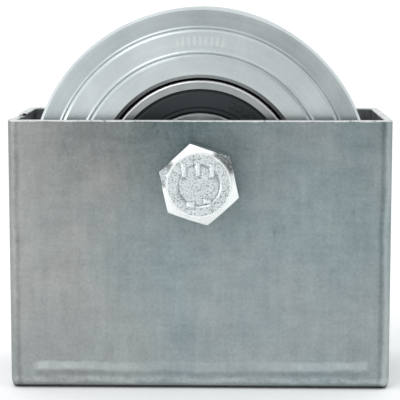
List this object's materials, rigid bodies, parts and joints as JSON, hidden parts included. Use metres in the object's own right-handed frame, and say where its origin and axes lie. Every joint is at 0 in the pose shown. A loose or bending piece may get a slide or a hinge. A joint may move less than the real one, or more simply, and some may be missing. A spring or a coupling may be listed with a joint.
{
  "type": "gate wheel in a box housing",
  "caption": "Grooved sliding-gate wheel on sealed ball bearings, turning on a bolt in an open-topped steel box that is set into a gate's bottom rail.",
  "frame": {"origin": "middle of the box's closed base, in the wheel's middle plane", "axes": "+Z out of the open top, where the wheel stands; the axle lies along Y with the bolt head at -Y; X runs along the box and the gate"},
  "size_m": [0.1, 0.0725, 0.1],
  "materials": {
    "box_steel": "satin, cloudy zinc-coated sheet with burnished bend marks",
    "weld_steel": "ground weld metal",
    "wheel_zinc": "turned and zinc plated",
    "bolt_zinc": "bright zinc, forged grain on the head",
    "bearing_steel": "ground bearing steel",
    "seal_rubber": "moulded nitrile rubber",
    "cage_nylon": "natural nylon",
    "spacer_steel": "turned steel tube",
    "insert_nylon": "nylon"
  },
  "bodies": {
    "housing": {"front_shell": "box_steel", "rear_shell": "box_steel", "seam_weld": "weld_steel", "axle_bolt": "bolt_zinc", "rear_washer": "bolt_zinc", "lock_nut": "bolt_zinc", "lock_nut_insert": "insert_nylon", "axle_bush": "spacer_steel", "front_spacer": "spacer_steel", "rear_spacer": "spacer_steel", "centre_spacer": "spacer_steel", "front_bearing_inner_ring": "bearing_steel", "rear_bearing_inner_ring": "bearing_steel"},
    "wheel_assembly": {"wheel": "wheel_zinc", "front_bearing_outer_ring": "bearing_steel", "front_bearing_outboard_seal": "seal_rubber", "front_bearing_inboard_seal": "seal_rubber", "rear_bearing_outer_ring": "bearing_steel", "rear_bearing_outboard_seal": "seal_rubber", "rear_bearing_inboard_seal": "seal_rubber"},
    "front_cage": {"front_bearing_cage": "cage_nylon", "front_bearing_ball_1": "bearing_steel", "front_bearing_ball_2": "bearing_steel", "front_bearing_ball_3": "bearing_steel", "front_bearing_ball_4": "bearing_steel", "front_bearing_ball_5": "bearing_steel", "front_bearing_ball_6": "bearing_steel", "front_bearing_ball_7": "bearing_steel", "front_bearing_ball_8": "bearing_steel", "front_bearing_ball_9": "bearing_steel"},
    "rear_cage": {"rear_bearing_cage": "cage_nylon", "rear_bearing_ball_1": "bearing_steel", "rear_bearing_ball_2": "bearing_steel", "rear_bearing_ball_3": "bearing_steel", "rear_bearing_ball_4": "bearing_steel", "rear_bearing_ball_5": "bearing_steel", "rear_bearing_ball_6": "bearing_steel", "rear_bearing_ball_7": "bearing_steel", "rear_bearing_ball_8": "bearing_steel", "rear_bearing_ball_9": "bearing_steel"}
  },
  "joints": [
    {"name": "wheel_spin", "type": "hinge", "parent": "housing", "child": "wheel_assembly", "pos_m": [0, 0, 0.055], "axis": [0, 1, 0], "continuous": true},
    {"name": "front_cage_turn", "type": "hinge", "parent": "housing", "child": "front_cage", "pos_m": [0, -0.0085, 0.055], "axis": [0, 1, 0], "continuous": true},
    {"name": "rear_cage_turn", "type": "hinge", "parent": "housing", "child": "rear_cage", "pos_m": [0, 0.0085, 0.055], "axis": [0, 1, 0], "continuous": true}
  ],
  "couplings": [
    {"joint": "front_cage_turn", "follows": "wheel_spin", "ratio": 0.6023},
    {"joint": "rear_cage_turn", "follows": "wheel_spin", "ratio": 0.6023}
  ]
}
